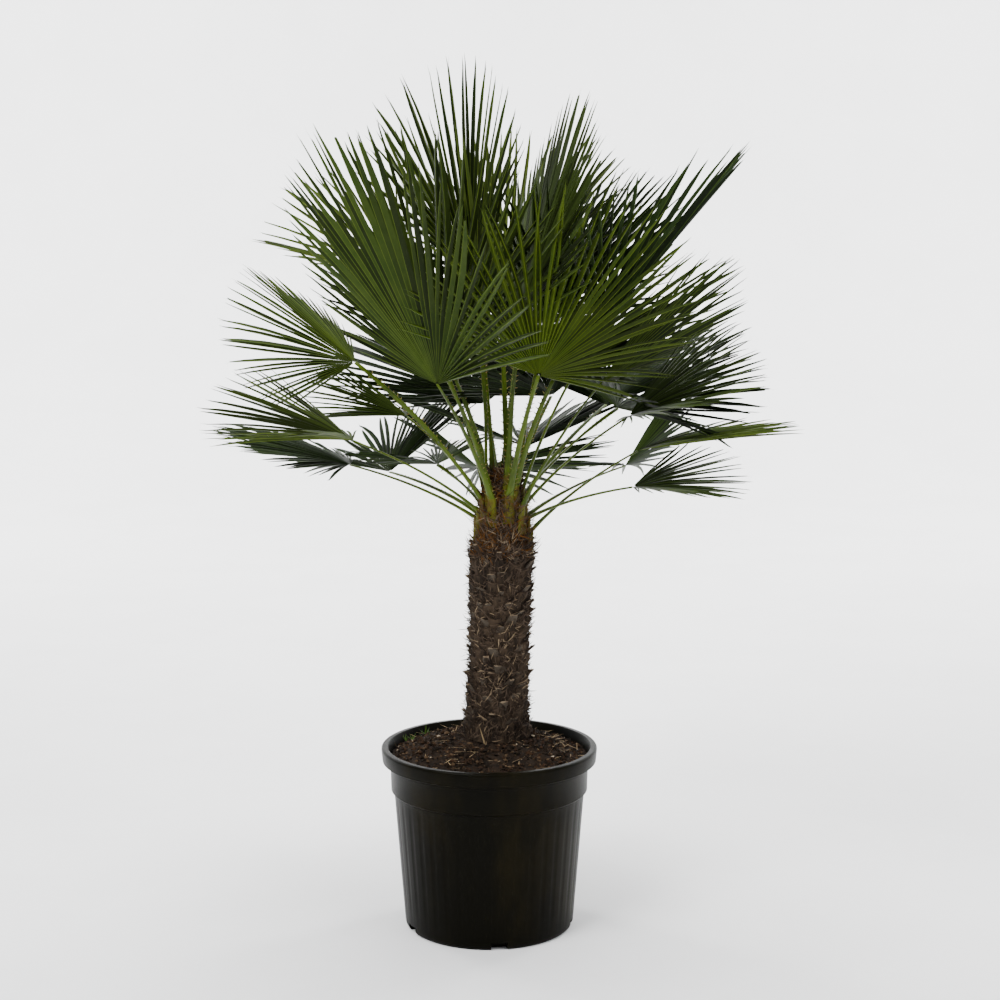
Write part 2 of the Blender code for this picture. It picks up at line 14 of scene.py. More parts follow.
import bpy
import numpy as np
from bpy.types import Material, Node, NodeOutputs, NodeSocket, NodeTree, Object
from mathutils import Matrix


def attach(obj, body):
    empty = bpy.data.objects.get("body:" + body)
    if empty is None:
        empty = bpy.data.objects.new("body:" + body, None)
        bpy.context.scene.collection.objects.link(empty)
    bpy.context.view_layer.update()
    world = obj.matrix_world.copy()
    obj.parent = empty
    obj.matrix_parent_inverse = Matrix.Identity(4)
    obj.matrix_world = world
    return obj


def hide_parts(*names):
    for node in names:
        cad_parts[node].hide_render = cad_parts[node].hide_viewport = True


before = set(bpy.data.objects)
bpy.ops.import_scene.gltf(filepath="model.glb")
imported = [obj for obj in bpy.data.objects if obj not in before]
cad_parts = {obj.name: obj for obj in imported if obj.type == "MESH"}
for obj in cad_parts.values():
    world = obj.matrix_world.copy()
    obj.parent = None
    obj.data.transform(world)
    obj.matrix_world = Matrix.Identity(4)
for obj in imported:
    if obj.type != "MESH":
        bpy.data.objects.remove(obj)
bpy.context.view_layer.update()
LOG = logging.getLogger("fan_palm")
BODY = "root"

Colour = tuple[float, float, float]
Place = tuple[float, float, float]
Span = tuple[float, float]
Face = tuple[int, ...]
Array = np.ndarray
Number = float | Array
UP = np.array((0.0, 0.0, 1.0))

# Sizes shared with the solids
SOIL_EDGE = 0.371
SOIL_CENTRE = 0.4097
TRUNK_FOOT = 0.41
TRUNK_SHOULDER = 0.805
TRUNK_TIP = 0.985
TRUNK_FOOT_X = 0.015
TRUNK_LEAN = math.radians(1.6)
CONE_FOOT_RADIUS = 0.061
TIP_RADIUS = 0.018
LOWEST_ROOT = 0.838
HIGHEST_ROOT = 0.945
STEEPEST = 80.0
EDGE_LEAFLET_SHARE = 0.72
SAG_SHARE = 0.08
PLEAT_SHARE = 0.32
HUB_BLEND = 8.0
STALK_BOW = 0.07
BOW_PLACE = 0.45
BOW_INWARD = 0.6
ROOT_OUT = 0.008
ROOT_UP = 0.016
GOLDEN_TURN = math.radians(137.5)


def across(azimuth: float) -> Array:
    """The level unit vector to the left of an azimuth in degrees from +X towards +Y."""
    turn = math.radians(azimuth)
    return np.array((-math.sin(turn), math.cos(turn), 0.0))


def direction(azimuth: float, rise: float = 0.0) -> Array:
    """The unit vector at an azimuth and a rise above the level, both in degrees."""
    ahead = np.array((across(azimuth)[1], -across(azimuth)[0], 0.0))
    return ahead * math.cos(math.radians(rise)) + UP * math.sin(math.radians(rise))


def unit(vector: Array) -> Array:
    """The vector, or each row of vectors, at length one."""
    return vector / np.maximum(np.linalg.norm(vector, axis=-1, keepdims=True), 1e-12)


def turns(count: int) -> Array:
    """Angles spread evenly round a ring, in radians."""
    return 2 * np.pi * np.arange(count) / count


def quarter(steps: int) -> list[Span]:
    """Points of a quarter circle of radius one: how far across and how far up each is."""
    angles = [math.pi / 2 * step / steps for step in range(1, steps + 1)]
    return [(math.sin(turn), 1 - math.cos(turn)) for turn in angles]


def round_points(radius: Array, height: Array) -> Array:
    """Points round the Z axis, from a radius and a height for each ring and side."""
    turn = turns(radius.shape[1])
    return np.stack((radius * np.cos(turn), radius * np.sin(turn), height + 0 * radius), -1)


def trunk_axis(height: Number) -> Number:
    """Sideways place of the trunk's middle at a height."""
    return TRUNK_FOOT_X + (height - TRUNK_FOOT) * math.tan(TRUNK_LEAN)


def cone_radius(height: Number) -> Number:
    """Radius of the crown shaft at a height."""
    share = (height - TRUNK_SHOULDER) / (TRUNK_TIP - TRUNK_SHOULDER)
    return CONE_FOOT_RADIUS + share * (TIP_RADIUS - CONE_FOOT_RADIUS)


def off_axis(height: float, outward: Array, radius: float) -> Array:
    """The point at a height and a radius out from the trunk's middle."""
    return np.array((trunk_axis(height), 0.0, height)) + outward * radius


class Tone(Enum):
    """How light a leaf is."""
    # How light a leaf is painted: the bright tone is painted sunlight, the dark tone painted shade on
    # the leaves at the back and below, mid is the plain green and pale a paler green.

    PAINTED_SUN = "bright"
    MID = "mid"
    DARK = "dark"
    PALE = "pale"


PAINTED_SUN, MID, DARK, PALE = Tone


@dataclass(frozen=True)
class Frond:
    """One fan leaf: where its stalk goes, then how its blade lies. Angles are in degrees."""

    name: str
    tone: Tone
    azimuth: float
    rise: float
    stalk: float
    heading: float
    slope: float
    roll: float
    reach: float
    spread: float
    fold: float


# The tone of each leaf is painted light: bright leaves carry painted sunlight, dark ones painted shade.
FRONDS = (
    Frond("front_left", MID, 240, 51, 0.35, 210, 64, 3, 0.58, 161, 5),
    Frond("front_right", PAINTED_SUN, 288, 56, 0.34, 330, 60, -35, 0.43, 185, 12),
    Frond("top", MID, 180, 85, 0.45, 248, 80, 66, 0.46, 97, 14),
    Frond("front_right_inner", MID, 312, 65, 0.28, 21, 32, -94, 0.52, 99, 59),
    Frond("front_left_inner", MID, 226, 63, 0.3, 250, 67, -11, 0.56, 114, 14),
    Frond("back_high_right", DARK, 55, 30, 0.42, 66, 25, 0, 0.44, 170, 20),
    Frond("back_low", DARK, 98, 15, 0.32, 85, -20, 10, 0.42, 180, 30),
    Frond("right_wide", MID, 359, 42, 0.3, 326, 17, 23, 0.34, 136, 20),
    Frond("top_right", MID, 286, 76, 0.38, 352, 74, 21, 0.49, 132, 0),
    Frond("upper_right", DARK, 347, 64, 0.39, 323, 48, 9, 0.52, 108, 19),
    Frond("right_mid", MID, 346, 56, 0.31, 35, 22, -37, 0.43, 118, 14),
    Frond("left_mid", MID, 201, 48, 0.42, 190, 41, 109, 0.32, 165, 57),
    Frond("left_low_bright", PAINTED_SUN, 192, 32, 0.32, 214, 7, -13, 0.35, 126, 25),
    Frond("left_low_dark", DARK, 179, 24, 0.3, 176, 19, 1, 0.31, 176, 0),
    Frond("left_fold", MID, 174, 49, 0.25, 149, 0, 24, 0.27, 117, 29),
    Frond("back_left", DARK, 98, 41, 0.31, 119, 22, -20, 0.44, 190, 25),
    Frond("upper_right_back", DARK, 23, 78, 0.36, 323, 34, 4, 0.43, 147, 51),
    Frond("right_mid_back", DARK, 39, 36, 0.35, 303, -2, 0, 0.4, 150, 30),
    Frond("right_lowest", MID, 358, 20, 0.24, 337, 2, 11, 0.26, 141, 19),
    Frond("top_left_back", PALE, 131, 82, 0.36, 170, 61, 30, 0.46, 150, 20),
    Frond("left_pale", PALE, 163, 68, 0.47, 185, 21, 33, 0.36, 129, 30),
    Frond("back_right", DARK, 61, 50, 0.28, 96, 22, -20, 0.42, 190, 25),
    Frond("back_middle", DARK, 80, 26, 0.28, 101, 1, 0, 0.44, 190, 25),
    Frond("left_back_folded", DARK, 140, 34, 0.17, 240, 9, 9, 0.24, 176, 18),
    Frond("left_back_low", DARK, 133, 15, 0.33, 120, 2, -10, 0.42, 180, 25),
    Frond("back_high", DARK, 80, 62, 0.4, 85, 48, 10, 0.46, 170, 20),
    Frond("back_low_right", DARK, 35, 20, 0.3, 72, -4, -30, 0.4, 180, 30),
    Frond("back_high_left", DARK, 118, 52, 0.38, 102, 44, 10, 0.45, 170, 20),
    Frond("right_low", PAINTED_SUN, 6, 30, 0.28, 353, 12, -2, 0.36, 117, 7),
    Frond("top_back", PALE, 91, 76, 0.41, 46, 56, 10, 0.45, 150, 25),
)


def add_node(tree: NodeTree, kind: str, inputs: dict[str | int, object], **settings: object) -> Node:
    """Adds a shader node.

    Args:
        tree: the node tree it goes into.
        kind: its type.
        inputs: for each input, its value or the socket that feeds it.
        settings: its other properties, which are set first.

    Returns:
        The node.
    """
    made = tree.nodes.new(kind)
    for label, value in settings.items():
        setattr(made, label, value)
    for label, value in inputs.items():
        if isinstance(value, NodeSocket):
            tree.links.new(value, made.inputs[label])
        else:
            made.inputs[label].default_value = value
    return made


def start_group(
    name: str, inputs: dict[str, float], output: str
) -> tuple[NodeTree, NodeOutputs, NodeSocket]:
    """Makes an empty group with a vector input, number inputs and one output.

    Args:
        name: the group's name.
        inputs: names of the number inputs, with their usual values.
        output: name of the output.

    Returns:
        The node tree, the sockets that give its inputs, and the socket of its output.
    """
    tree = bpy.data.node_groups.new(name, "ShaderNodeTree")
    tree.interface.new_socket("Vector", in_out="INPUT", socket_type="NodeSocketVector")
    for label, value in inputs.items():
        socket = tree.interface.new_socket(label, in_out="INPUT", socket_type="NodeSocketFloat")
        socket.default_value = value
    tree.interface.new_socket(output, in_out="OUTPUT", socket_type="NodeSocketFloat")
    given = tree.nodes.new("NodeGroupInput").outputs
    return tree, given, tree.nodes.new("NodeGroupOutput").inputs[output]


@functools.cache
def soft_patches() -> NodeTree:
    """Builds the group of soft irregular patches, for dust and mottling, once.

    Returns:
        The group, which gives a mask.
    """
    usual = {"Scale": 20.0, "Low": 0.4, "High": 0.6}
    tree, given, result = start_group("soft_patches", usual, "Mask")
    inputs = {"Vector": given["Vector"], "Scale": given["Scale"], "Detail": 5.0, "Roughness": 0.62}
    noise = add_node(tree, "ShaderNodeTexNoise", inputs)
    inputs = {"Value": noise.outputs["Fac"], "From Min": given["Low"], "From Max": given["High"]}
    spread = add_node(tree, "ShaderNodeMapRange", inputs, interpolation_type="SMOOTHSTEP")
    tree.links.new(spread.outputs["Result"], result)
    return tree


@functools.cache
def fine_grain() -> NodeTree:
    """Builds the group of fine relief, once: pores on plastic, fibres on bark, clods in soil.

    Returns:
        The group, which gives a height for bumps.
    """
    tree, given, result = start_group("fine_grain", {"Scale": 200.0, "Coarse": 0.4}, "Height")
    vector = given["Vector"]
    inputs = {"Vector": vector, "Scale": given["Scale"], "Detail": 3.0}
    fine = add_node(tree, "ShaderNodeTexNoise", inputs)
    wider = add_node(tree, "ShaderNodeMath", {0: given["Scale"], 1: 0.2}, operation="MULTIPLY")
    inputs = {"Vector": vector, "Scale": wider.outputs["Value"], "Detail": 2.0}
    coarse = add_node(tree, "ShaderNodeTexNoise", inputs)
    inputs = {"Factor": given["Coarse"], "A": fine.outputs["Fac"], "B": coarse.outputs["Fac"]}
    blend = add_node(tree, "ShaderNodeMix", inputs)
    tree.links.new(blend.outputs["Result"], result)
    return tree


@dataclass(frozen=True)
class Finish:
    """A surface: its colour, the colour it wanders to in patches, and its grain.

    The patches and the grain can be drawn out along Z, and a leaf has its own slightly greyer colour
    behind, made darker as painted shade.
    """

    name: str
    colour: Colour
    second: Colour
    roughness: float = 0.6
    patch_scale: float = 30.0
    patch_low: float = 0.42
    patch_high: float = 0.62
    grain_scale: float = 400.0
    grain_height: float = 0.0
    stretch: float = 1.0
    back: Colour | None = None
    specular: float = 0.15
    bump_strength: float = 0.7

    @functools.cache
    def material(self) -> Material:
        """Builds the finish, once.

        Returns:
            The material.
        """
        made = bpy.data.materials.new(self.name)
        made.use_nodes = True
        made.diffuse_color = (*self.colour, 1.0)
        tree = made.node_tree
        where = tree.nodes.new("ShaderNodeTexCoord").outputs["Object"]
        inputs = {"Vector": where, "Scale": (1.0, 1.0, 1.0 / self.stretch)}
        vector = add_node(tree, "ShaderNodeMapping", inputs).outputs["Vector"]
        inputs = {"Vector": vector, "Scale": self.patch_scale}
        inputs |= {"Low": self.patch_low, "High": self.patch_high}
        mask = add_node(tree, "ShaderNodeGroup", inputs, node_tree=soft_patches()).outputs["Mask"]
        inputs = {"Factor": mask, "A": (*self.colour, 1.0), "B": (*self.second, 1.0)}
        colour = add_node(tree, "ShaderNodeMix", inputs, data_type="RGBA").outputs["Result"]
        if self.back is not None:
            behind = tree.nodes.new("ShaderNodeNewGeometry").outputs["Backfacing"]
            inputs = {"Factor": behind, "A": colour, "B": (*self.back, 1.0)}
            colour = add_node(tree, "ShaderNodeMix", inputs, data_type="RGBA").outputs["Result"]
        shader = tree.nodes["Principled BSDF"]
        shader.inputs["Roughness"].default_value = self.roughness
        shader.inputs["Specular IOR Level"].default_value = self.specular
        tree.links.new(colour, shader.inputs["Base Color"])
        if self.grain_height > 0.0:
            inputs = {"Vector": vector, "Scale": self.grain_scale}
            grain = add_node(tree, "ShaderNodeGroup", inputs, node_tree=fine_grain())
            inputs = {"Height": grain.outputs["Height"], "Distance": self.grain_height}
            bump = add_node(tree, "ShaderNodeBump", inputs | {"Strength": self.bump_strength})
            tree.links.new(bump.outputs["Normal"], shader.inputs["Normal"])
        return made


class Pile:
    """Gathers the points and faces of many things into one mesh."""

    # Width of a strip at its middle over the width of its foot
    strip_middle = 0.8

    def __init__(self) -> None:
        """Starts empty."""
        self.points: list[Array] = []
        self.faces: list[Face] = []
        self.slots: list[int] = []
        self.count = 0

    def add(self, points: Array, faces: list[Face], slot: int | list[int] = 0) -> None:
        """Adds one thing.

        Args:
            points: its corners, one row each.
            faces: its faces, counted from its own first corner.
            slot: slot of its finish, one for all its faces or one for each.
        """
        start = self.count
        self.points.append(np.asarray(points, dtype=float).reshape(-1, 3))
        self.faces += [tuple(start + index for index in face) for face in faces]
        self.slots += slot if isinstance(slot, list) else [slot] * len(faces)
        self.count += len(self.points[-1])

    def strip(
        self, start: Array, end: Array, side: Array, width: float, slot: int = 0, bow: Number = 0.0
    ) -> None:
        """Adds a thin pointed strip of two lengths, for a fibre, a straw or a sprout.

        Args:
            start: middle of its foot.
            end: its tip.
            side: unit vector across it.
            width: width of its foot.
            slot: slot of its finish.
            bow: how far its middle is pushed aside.
        """
        middle = (start + end) / 2 + bow
        half = side * width / 2
        slim = half * self.strip_middle
        points = np.array((start - half, start + half, middle + slim, middle - slim, end))
        self.add(points, [(0, 1, 2, 3), (3, 2, 4)], slot)

    def piece(self, name: str, finishes: tuple[Finish, ...], smooth: bool = True) -> Object:
        """Turns the pile into a piece that rides with the plant.

        Args:
            name: the piece's name.
            finishes: its finishes, in the order of their slots.
            smooth: whether its faces are shaded smooth.

        Returns:
            The object.
        """
        mesh = bpy.data.meshes.new(name)
        mesh.from_pydata(np.concatenate(self.points).tolist(), [], self.faces)
        for finish in finishes:
            mesh.materials.append(finish.material())
        mesh.polygons.foreach_set("material_index", self.slots)
        mesh.polygons.foreach_set("use_smooth", [smooth] * len(self.faces))
        mesh.update()
        item = bpy.data.objects.new(name, mesh)
        bpy.context.scene.collection.objects.link(item)
        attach(item, BODY)
        LOG.info("%s: %d faces", name, len(self.faces))
        return item


def tube_faces(rings: int, sides: int) -> list[Face]:
    """Faces of a tube with closed ends.

    Args:
        rings: how many rings of points it has.
        sides: points in a ring.

    Returns:
        The faces.
    """
    faces: list[Face] = []
    for level in range(rings - 1):
        for side in range(sides):
            after = (side + 1) % sides
            low = level * sides
            faces.append((low + side, low + after, low + sides + after, low + sides + side))
    faces.append(tuple(reversed(range(sides))))
    faces.append(tuple(range((rings - 1) * sides, rings * sides)))
    return faces


def leaflet_faces(rows: int, wide: int = 5) -> list[Face]:
    """Faces of a leaflet with two tips.

    Args:
        rows: how many rows of points it has.
        wide: points in a row.

    Returns:
        The faces, row by row, and last those of the tips.
    """
    faces: list[Face] = []
    for row in range(rows - 1):
        for low in range(row * wide, (row + 1) * wide - 1):
            faces.append((low, low + 1, low + 1 + wide, low + wide))
    end = (rows - 1) * wide
    tip = rows * wide
    faces += [(end, end + 1, tip), (end + 1, end + 2, tip)]
    faces += [(end + 2, end + 3, tip + 1), (end + 3, end + 4, tip + 1)]
    return faces


class LeafShape:
    """The rule of one leaf: points of its stalk and of its blade."""

    def __init__(self, frond: Frond, foot: Array) -> None:
        """Works out the leaf's hub and its directions.

        Args:
            frond: the leaf's row.
            foot: where its stalk meets the crown shaft.
        """
        self.frond = frond
        self.foot = foot
        steepness = min(max(frond.rise / STEEPEST, 0.0), 1.0)
        height = LOWEST_ROOT + steepness * (HIGHEST_ROOT - LOWEST_ROOT)
        shaft = off_axis(height, direction(frond.azimuth), cone_radius(height))
        self.hub = shaft + frond.stalk * direction(frond.azimuth, frond.rise)
        self.forward = direction(frond.heading, frond.slope)
        level = across(frond.heading)
        upper = np.cross(self.forward, level)
        roll = math.radians(frond.roll)
        self.side = level * math.cos(roll) + upper * math.sin(roll)
        self.face = upper * math.cos(roll) - level * math.sin(roll)
        self.foot_azimuth = math.degrees(math.atan2(foot[1], foot[0] - trunk_axis(foot[2])))
        self.outward = direction(self.foot_azimuth)

    def blade(self, radius: Array, angle: Array, lift: Array, droop: float) -> Array:
        """Points of the blade.

        Args:
            radius: distances from the hub.
            angle: angles off the middle leaflet, in radians.
            lift: heights off the blade.
            droop: sag over the usual sag.

        Returns:
            The points.
        """
        fold = math.radians(self.frond.fold)
        half = np.where(angle >= 0, 1.0, -1.0)[..., None]
        outward = self.side * half * math.cos(fold) + self.face * math.sin(fold)
        normal = self.face * math.cos(fold) - self.side * half * math.sin(fold)
        middle = 1.0 - np.minimum(np.abs(np.degrees(angle)) / HUB_BLEND, 1.0)
        normal = unit(normal + self.face * middle[..., None])
        along = self.forward * np.cos(angle)[..., None] + outward * np.abs(np.sin(angle))[..., None]
        level = np.hypot(along[..., 0], along[..., 1])
        sag = SAG_SHARE * droop * radius * radius / self.frond.reach * level
        points = self.hub + along * radius[..., None] + normal * lift[..., None]
        points[..., 2] -= sag
        return points

    def stalk_line(self, share: Array) -> Array:
        """Points of the stalk's middle.

        Args:
            share: 0 for its root, 1 for the hub.

        Returns:
            The points.
        """
        root = self.foot + self.outward * ROOT_OUT + UP * ROOT_UP
        chord = self.hub - root
        bow = float(np.linalg.norm(chord)) * STALK_BOW
        control = root + chord * BOW_PLACE + UP * bow - self.outward * bow * BOW_INWARD
        rest = (1.0 - share)[:, None]
        gone = share[:, None]
        return root * rest * rest + control * 2 * rest * gone + self.hub * gone * gone


@dataclass
class FanBlade:
    """The blade of a leaf: pleated leaflets, joined near the hub and free beyond it."""

    shape: LeafShape
    draw: np.random.Generator
    leaflet_pitch: float = math.radians(4.1)
    fewest: int = 26
    lengths: Span = (0.955, 1.0)
    hub_radius: float = 0.006
    splits: Span = (0.24, 0.4)
    rib_width: float = 0.0016
    widest_rib: float = 0.3
    rib_slot: int = 3
    narrowing: float = 4.0
    pleat_depth: float = 2.0
    twist: float = 0.5
    stray: float = 0.42
    stray_growth: float = 1.5
    droops: Span = (0.55, 1.45)
    fork_gap: float = 0.004
    fork_gaps: Span = (0.4, 1.6)
    shorter_tip: Span = (0.95, 1.0)
    joined: tuple[float, ...] = (0.3, 0.65, 1.0)
    free: tuple[float, ...] = (0.24, 0.5, 0.76, 0.92)

    def build(self) -> Pile:
        """Makes the blade.

        Returns:
            The blade, whose slots are three greens and the rib.
        """
        pile = Pile()
        spread = math.radians(self.shape.frond.spread)
        count = max(self.fewest, round(spread / self.leaflet_pitch))
        pitch = spread / count
        for index in range(count):
            angle = -spread / 2 + (index + 0.5) * pitch
            off_middle = abs(angle) / (spread / 2)
            share = 1.0 - (1.0 - EDGE_LEAFLET_SHARE) * off_middle**2
            length = self.shape.frond.reach * share * self.draw.uniform(*self.lengths)
            self.leaflet(pile, angle, pitch, length)
        return pile

    def leaflet(self, pile: Pile, angle: float, pitch: float, length: float) -> None:
        """Adds one leaflet.

        Args:
            pile: the blade.
            angle: angle of the leaflet's keel.
            pitch: angle between leaflets.
            length: from the hub to its tip.
        """
        draw = self.draw
        split = length * draw.uniform(*self.splits)
        drift = draw.normal(0.0, self.stray * pitch)
        droop = draw.uniform(*self.droops)
        twist = draw.normal(0.0, self.twist)
        radii = [self.hub_radius] + [share * split for share in self.joined]
        radii += [split + share * (length - split) for share in self.free]
        radius = np.array(radii)[:, None]
        beyond = np.array((0.0,) * (1 + len(self.joined)) + self.free)[:, None]
        width = np.minimum(radius, split) * pitch * (1.0 - beyond**self.narrowing)
        half_angle = width / 2 / radius
        rib = np.minimum(self.rib_width / 2 / radius, half_angle * self.widest_rib)
        offset = np.concatenate((-half_angle, -rib, 0 * rib, rib, half_angle), 1)
        deep = PLEAT_SHARE * self.pleat_depth * width / 2
        slope = 2 * np.abs(offset) / half_angle - 1.0
        centre = angle + drift * beyond**self.stray_growth
        lift = deep * slope + twist * beyond * offset * radius
        points = self.shape.blade(radius + 0 * offset, centre + offset, lift, droop)
        gap = self.fork_gap / 2 / length * draw.uniform(*self.fork_gaps)
        tip_radius = np.array((length, length * draw.uniform(*self.shorter_tip)))
        tip_angle = np.array((centre[-1, 0] - gap, centre[-1, 0] + gap))
        tips = self.shape.blade(tip_radius, tip_angle, np.zeros(2), droop)
        green = int(draw.integers(0, self.rib_slot))
        slots = [green, self.rib_slot, self.rib_slot, green] * len(radii)
        points = np.concatenate((points.reshape(-1, 3), tips))
        pile.add(points, leaflet_faces(len(radii)), slots)


@dataclass
class Stalk:
    """A leaf's stalk: a broad boot on the shaft, then a keeled rod with spines on both edges."""

    shape: LeafShape
    draw: np.random.Generator
    boot_width: float = 0.027
    boot_length: float = 0.06
    boot_drop: float = 0.04
    boot_below_shoulder: float = 0.004
    boot_proud: float = 0.001
    boot_bulge: float = 0.003
    boot_slot: int = 1
    root_width: float = 0.0145
    hub_width: float = 0.0078
    flatness: float = 0.62
    upper_flatness: float = 0.55
    thickest: float = 1.6
    rings: int = 20
    crowding: float = 1.3
    sides: int = 10
    spine_step: float = 0.013
    spine_steps: Span = (0.7, 1.4)
    spine_length: float = 0.008
    spine_outs: Span = (0.4, 1.0)
    spine_forwards: Span = (0.2, 0.7)
    spine_width: float = 0.0017
    spine_edge: float = 0.46
    last_spine: float = 0.93
    spine_slot: int = 2

    def __post_init__(self) -> None:
        """Works out the stalk's middle, its length up to each point, and its width."""
        shape = self.shape
        share = np.linspace(0.0, 1.0, self.rings) ** self.crowding
        lowest = TRUNK_SHOULDER - self.boot_below_shoulder
        low = max(float(shape.foot[2]) - self.boot_drop, lowest)
        sunk = off_axis(low, shape.outward, cone_radius(low) + self.boot_proud)
        halfway = (sunk + shape.foot) / 2 + shape.outward * self.boot_bulge
        self.line = np.concatenate((sunk[None], halfway[None], shape.stalk_line(share)))
        share = np.concatenate(([0.0, 0.0], share))
        steps = np.linalg.norm(np.diff(self.line, axis=0), axis=1)
        self.run = np.concatenate(([0.0], np.cumsum(steps)))
        self.along = unit(np.gradient(self.line, axis=0))
        side = across(shape.foot_azimuth) * (1 - share)[:, None] + shape.side * share[:, None]
        self.side = unit(side - self.along * np.sum(side * self.along, 1, keepdims=True))
        wider = (self.boot_width - self.root_width) * np.exp(-((self.run / self.boot_length) ** 2))
        self.width = self.root_width + (self.hub_width - self.root_width) * share + wider

    def build(self) -> Pile:
        """Makes the stalk.

        Returns:
            The stalk, whose slots are the green, the boot and the spines.
        """
        turn = turns(self.sides)
        up_ring = np.where(np.sin(turn) > 0, self.upper_flatness, 1.0) * np.sin(turn) * self.flatness
        half = self.width[:, None, None] / 2
        thick = np.minimum(half, self.root_width / self.thickest)
        rings = self.line[:, None] + self.side[:, None] * np.cos(turn)[None, :, None] * half
        face = np.cross(self.along, self.side)
        rings = rings + face[:, None] * up_ring[None, :, None] * thick
        faces = tube_faces(len(self.line), self.sides)
        booted = int(np.searchsorted(self.run, self.boot_length)) * self.sides
        pile = Pile()
        pile.add(rings, faces, [self.boot_slot] * booted + [0] * (len(faces) - booted))
        place = self.boot_length
        while place < self.run[-1] * self.last_spine:
            row = int(np.searchsorted(self.run, place)) - 1
            part = (place - self.run[row]) / (self.run[row + 1] - self.run[row])
            middle = self.line[row] + (self.line[row + 1] - self.line[row]) * part
            for hand in (-1.0, 1.0):
                self.spine(pile, row, middle, self.side[row] * hand)
            place += self.spine_step * self.draw.uniform(*self.spine_steps)
        return pile

    def spine(self, pile: Pile, row: int, middle: Array, out: Array) -> None:
        """Adds one spine.

        Args:
            pile: the stalk.
            row: the point of the stalk before it.
            middle: the stalk's middle beside it.
            out: the direction across the stalk towards it.
        """
        along = self.along[row]
        edge = middle + out * self.width[row] * self.spine_edge
        tip = edge + out * self.spine_length * self.draw.uniform(*self.spine_outs)
        tip = tip + along * self.spine_length * self.draw.uniform(*self.spine_forwards)
        normal = np.cross(along, self.side[row]) * self.spine_width / 2
        foot = along * self.spine_width
        points = np.array((edge - foot, edge + foot, edge + normal, tip))
        pile.add(points, [(0, 1, 3), (1, 2, 3), (2, 0, 3), (0, 2, 1)], self.spine_slot)


def tinted(colour: Colour, shares: Colour, more: Colour = (0.0, 0.0, 0.0)) -> Colour:
    """The colour with each channel multiplied, then with more of it."""
    return tuple(one * share + plus for one, share, plus in zip(colour, shares, more))


@dataclass
class Crown:
    """All the leaves of the palm."""

    seed: int = 5
    lights: tuple[float, ...] = (0.55, 1.0, 1.45)
    foot_reach: float = 0.005
    foot_above_tip: float = 0.01
    stalk: Finish = Finish("stalk_green", (0.052, 0.082, 0.002), (0.03, 0.05, 0.0018), 0.42, 14.0)
    boot: Finish = Finish("boot_olive", (0.08, 0.084, 0.003), (0.06, 0.036, 0.004), 0.6, 45.0)
    spine: Finish = Finish("spine_straw", (0.22, 0.2, 0.06), (0.16, 0.11, 0.03), 0.5, 60.0)

    def greens(self, tone: Tone) -> tuple[Finish, ...]:
        """The finishes of a blade.

        Args:
            tone: how light the leaf is painted, with painted sunlight on bright leaves and painted
                shade on dark ones.

        Returns:
            Three greens and a rib.
        """
        # Painted light: the bright green is painted sunlight and the dark green painted shade; the rib
        # is lightened from the same painted tone.
        base = {
            PAINTED_SUN: (0.03, 0.046, 0.005),
            MID: (0.021, 0.034, 0.0046),
            DARK: (0.009, 0.018, 0.0026),
            PALE: (0.042, 0.06, 0.01),
        }[tone]
        made = []
        for index, light in enumerate(self.lights):
            colour = tinted(base, (light, light, light))
            second = tinted(colour, (0.72, 0.8, 0.8))
            # The underside: the leaf's own slightly greyer green, made darker as painted shade.
            back = tinted(colour, (0.85, 0.85, 1.0), (0.001, 0.001, 0.0008))
            name = f"leaf_{tone.value}_{index}"
            made.append(Finish(name, colour, second, 0.5, 9.0, back=back, specular=0.075))
        rib = tinted(base, (2.2, 2.1, 1.6), (0.006, 0.008, 0.001))
        second = tinted(rib, (0.8, 0.85, 0.8))
        made.append(Finish(f"rib_{tone.value}", rib, second, 0.5, 9.0, specular=0.075))
        return tuple(made)

    def build(self) -> None:
        """Makes every leaf, as a blade and a stalk."""
        draw = np.random.default_rng(self.seed)
        dressed = (self.stalk, self.boot, self.spine)
        for frond in FRONDS:
            node = "frond_" + frond.name
            shape = LeafShape(frond, self.foot(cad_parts[node]))
            greens = self.greens(frond.tone)
            blade = FanBlade(shape, draw).build().piece("blade_" + frond.name, greens, False)
            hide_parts(node)
            rod = Stalk(shape, draw).build().piece("stalk_" + frond.name, dressed)
            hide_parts(node)

    def foot(self, node: Object) -> Array:
        """Where a leaf's stalk meets the crown shaft.

        Args:
            node: the leaf's solid.

        Returns:
            The middle of its foot.
        """
        points = np.array([vertex.co for vertex in node.data.vertices])
        height = points[:, 2]
        outward = np.hypot(points[:, 0] - trunk_axis(height), points[:, 1])
        near = outward - cone_radius(height) < self.foot_reach
        near &= (height < TRUNK_TIP + self.foot_above_tip) & (height > TRUNK_SHOULDER)
        return points[near].mean(0)


@dataclass(frozen=True)
class Coat:
    """One coat of fibre: its strips, where they are, how they lie, and the shares of the tints."""

    name: str
    count: int
    heights: Span
    longest: float
    sway: float
    chances: tuple[float, ...]


COATS = (
    Coat(
        "trunk_fibre", 7000, (TRUNK_FOOT + 0.004, TRUNK_SHOULDER + 0.02),
        0.032, 0.75, (0.44, 0.48, 0.08, 0.0),
    ),
    Coat(
        "crown_fibre", 3200, (TRUNK_SHOULDER - 0.004, TRUNK_TIP - 0.01),
        0.045, 0.9, (0.28, 0.34, 0.06, 0.32),
    ),
)


